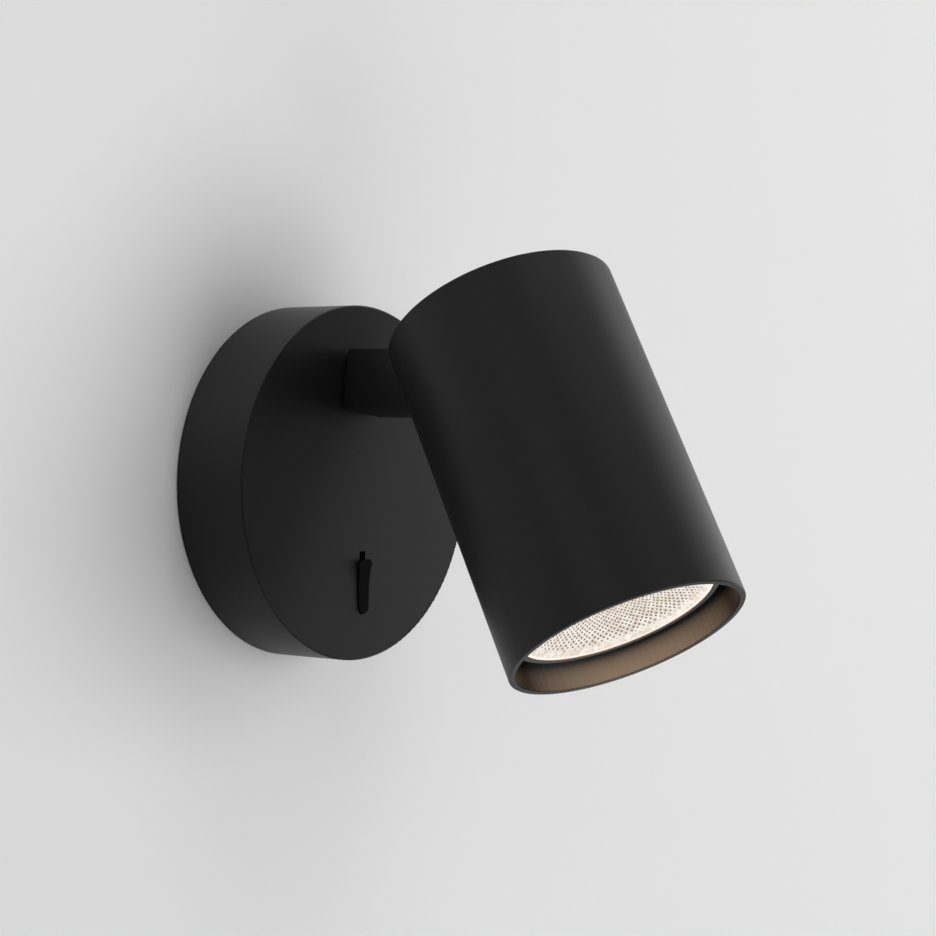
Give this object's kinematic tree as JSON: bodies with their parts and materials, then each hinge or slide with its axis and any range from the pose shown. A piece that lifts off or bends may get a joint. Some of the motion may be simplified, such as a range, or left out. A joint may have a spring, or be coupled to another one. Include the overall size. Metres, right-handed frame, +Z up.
{
  "type": "pivoting spotlight wall light",
  "caption": "Wall spotlight: round base with a rocker switch, a square arm that turns on it, and a tilting round head with a recessed twist-lock lamp.",
  "frame": {"origin": "centre of the base's round back face, on the wall", "axes": "+X to the right seen from the room, -Y out of the wall, +Z up"},
  "size_m": [0.09, 0.1312, 0.1044],
  "materials": {
    "black_coat": "matt black powder coat on aluminium and steel",
    "gloss_black": "smooth black moulding",
    "black_plastic": "matt black moulding",
    "black_screws": "blackened steel",
    "zinc_steel": "zinc plated steel",
    "brass": "plain brass",
    "rubber": "soft black rubber",
    "white_plastic": "white moulding",
    "nylon": "natural nylon",
    "lead_sleeve": "white silicone sleeve",
    "ceramic": "white glazed ceramic",
    "lamp_aluminium": "satin aluminium",
    "lamp_grey": "grey moulded rim",
    "lens": "lit lens moulded all over with small domes",
    "board": "white light board"
  },
  "bodies": {
    "base": {"base_canopy": "black_coat", "base_leads": "lead_sleeve", "cable_grommet": "rubber", "canopy_grub_screws": "black_screws", "earth_screw": "brass", "earth_washer": "brass", "switch_contact_blade": "brass", "switch_housing": "black_plastic", "switch_pivot_pin": "zinc_steel", "switch_push_nuts": "zinc_steel", "switch_terminals": "brass", "terminal_block": "white_plastic", "terminal_clamps": "brass", "terminal_fixing_screw": "zinc_steel", "terminal_screws": "zinc_steel", "wall_bracket": "zinc_steel"},
    "lever": {"switch_lever": "gloss_black", "switch_plunger": "brass"},
    "arm": {"arm_block": "black_coat", "arm_leads": "lead_sleeve", "pan_friction_washer": "nylon", "pan_nut": "zinc_steel", "pan_spacer": "black_plastic", "pan_spindle": "zinc_steel", "pan_spring_washer": "zinc_steel", "pan_stop_washer": "zinc_steel"},
    "head": {"bracket_screws": "black_screws", "head_tube": "black_coat", "holder_leads": "lead_sleeve", "lampholder": "ceramic", "lampholder_contacts": "brass", "lampholder_screws": "zinc_steel", "rear_cap": "black_coat", "tilt_bolt": "zinc_steel", "tilt_bracket": "zinc_steel", "tilt_friction_washers": "nylon", "tilt_nut": "zinc_steel", "tilt_spring_washer": "zinc_steel"},
    "lamp": {"lamp_base": "ceramic", "lamp_body": "lamp_aluminium", "lamp_lens": "lens", "lamp_light_board": "board", "lamp_pins": "zinc_steel", "lamp_rim": "lamp_grey"}
  },
  "joints": [
    {"name": "pan", "type": "hinge", "parent": "base", "child": "arm", "pos_m": [0, -0.0209, 0.0252], "axis": [0, -1, 0], "range_deg": [-158.64, 177.36]},
    {"name": "tilt", "type": "hinge", "parent": "arm", "child": "head", "pos_m": [0, -0.0494, 0.0252], "axis": [-0.9867, 0, 0.1626], "range_deg": [-30.2, 59.8]},
    {"name": "lamp_twist", "type": "hinge", "parent": "head", "child": "lamp", "pos_m": [-0.00965, -0.1065, -0.03334], "axis": [-0.1406, -0.503, -0.8528], "range_deg": [0, 30]},
    {"name": "switch_rock", "type": "hinge", "parent": "base", "child": "lever", "pos_m": [0.0006, -0.016, -0.0254], "axis": [-1, 0, 0], "range_deg": [0, 7]}
  ]
}
